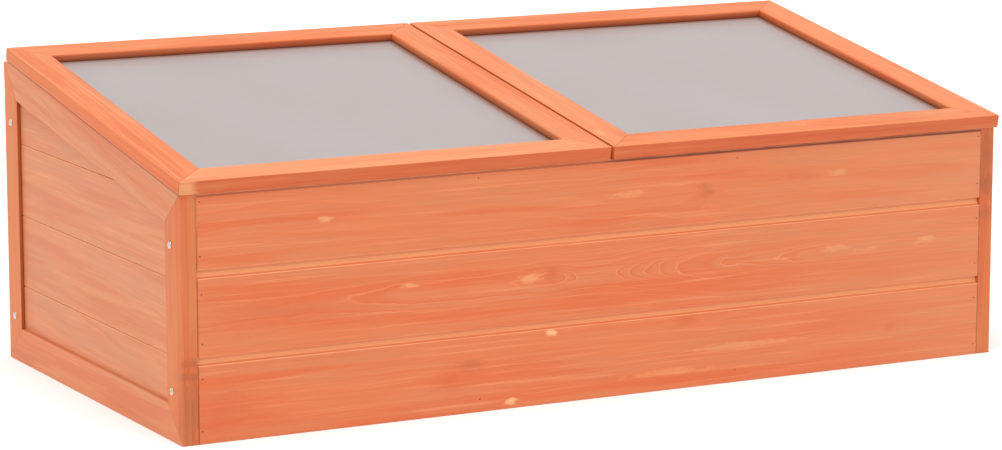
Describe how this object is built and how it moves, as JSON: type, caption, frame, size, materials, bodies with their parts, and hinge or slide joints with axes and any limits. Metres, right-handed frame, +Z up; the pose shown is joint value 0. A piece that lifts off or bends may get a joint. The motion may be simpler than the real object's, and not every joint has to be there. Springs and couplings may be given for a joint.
{
  "type": "cold frame",
  "caption": "Low wooden growing box with an open bottom, a rim that slopes to the front, and side-by-side twin-wall glazed lids hinged along its high back.",
  "frame": {"origin": "centre of the object's bounding box in plan, on the ground it stands on", "axes": "+X along the long side, to the right seen from the low front; +Y from the low front to the hinged back; +Z up"},
  "size_m": [1.1, 0.555, 0.39],
  "materials": {
    "board_fir": "orange-brown stain, planed, satin",
    "frame_fir": "orange-brown stain, planed, satin",
    "batten_fir": "orange-brown stain, sawn, matte",
    "lid_fir": "orange-brown stain, planed, satin",
    "twin_wall_sheet": "translucent twin-wall sheet, satin gloss",
    "zinc_screw": "bright zinc plate",
    "zinc_hinge": "zinc plate, slightly dull"
  },
  "bodies": {
    "box": {"back_board_1": "board_fir", "back_board_2": "board_fir", "back_board_3": "board_fir", "back_board_4": "board_fir", "back_hinge_rail": "batten_fir", "back_left_end_batten": "batten_fir", "back_left_mid_batten": "batten_fir", "back_right_end_batten": "batten_fir", "back_right_mid_batten": "batten_fir", "front_board_1": "board_fir", "front_board_2": "board_fir", "front_board_3": "board_fir", "front_left_end_batten": "batten_fir", "front_left_mid_batten": "batten_fir", "front_right_end_batten": "batten_fir", "front_right_mid_batten": "batten_fir", "left_board_1": "board_fir", "left_board_2": "board_fir", "left_board_3": "board_fir", "left_board_4": "board_fir", "left_bottom_rail": "frame_fir", "left_front_lower_screw": "zinc_screw", "left_front_stile": "frame_fir", "left_front_upper_screw": "zinc_screw", "left_lid_left_hinge_fixed_leaf_and_pin": "zinc_hinge", "left_lid_right_hinge_fixed_leaf_and_pin": "zinc_hinge", "left_rear_lower_screw": "zinc_screw", "left_rear_stile": "frame_fir", "left_rear_upper_screw": "zinc_screw", "left_top_rail": "frame_fir", "right_board_1": "board_fir", "right_board_2": "board_fir", "right_board_3": "board_fir", "right_board_4": "board_fir", "right_bottom_rail": "frame_fir", "right_front_lower_screw": "zinc_screw", "right_front_stile": "frame_fir", "right_front_upper_screw": "zinc_screw", "right_lid_left_hinge_fixed_leaf_and_pin": "zinc_hinge", "right_lid_right_hinge_fixed_leaf_and_pin": "zinc_hinge", "right_rear_lower_screw": "zinc_screw", "right_rear_stile": "frame_fir", "right_rear_upper_screw": "zinc_screw", "right_top_rail": "frame_fir"},
    "left_lid": {"left_lid_front_rail": "lid_fir", "left_lid_glazing": "twin_wall_sheet", "left_lid_left_hinge_lid_leaf": "zinc_hinge", "left_lid_left_stile": "lid_fir", "left_lid_rear_rail": "lid_fir", "left_lid_right_hinge_lid_leaf": "zinc_hinge", "left_lid_right_stile": "lid_fir"},
    "right_lid": {"right_lid_front_rail": "lid_fir", "right_lid_glazing": "twin_wall_sheet", "right_lid_left_hinge_lid_leaf": "zinc_hinge", "right_lid_left_stile": "lid_fir", "right_lid_rear_rail": "lid_fir", "right_lid_right_hinge_lid_leaf": "zinc_hinge", "right_lid_right_stile": "lid_fir"}
  },
  "joints": [
    {"name": "left_lid_hinge", "type": "hinge", "parent": "box", "child": "left_lid", "pos_m": [-0.276, 0.2657, 0.3738], "axis": [-1, 0, 0], "range_deg": [0, 110]},
    {"name": "right_lid_hinge", "type": "hinge", "parent": "box", "child": "right_lid", "pos_m": [0.276, 0.2657, 0.3738], "axis": [-1, 0, 0], "range_deg": [0, 110]}
  ]
}
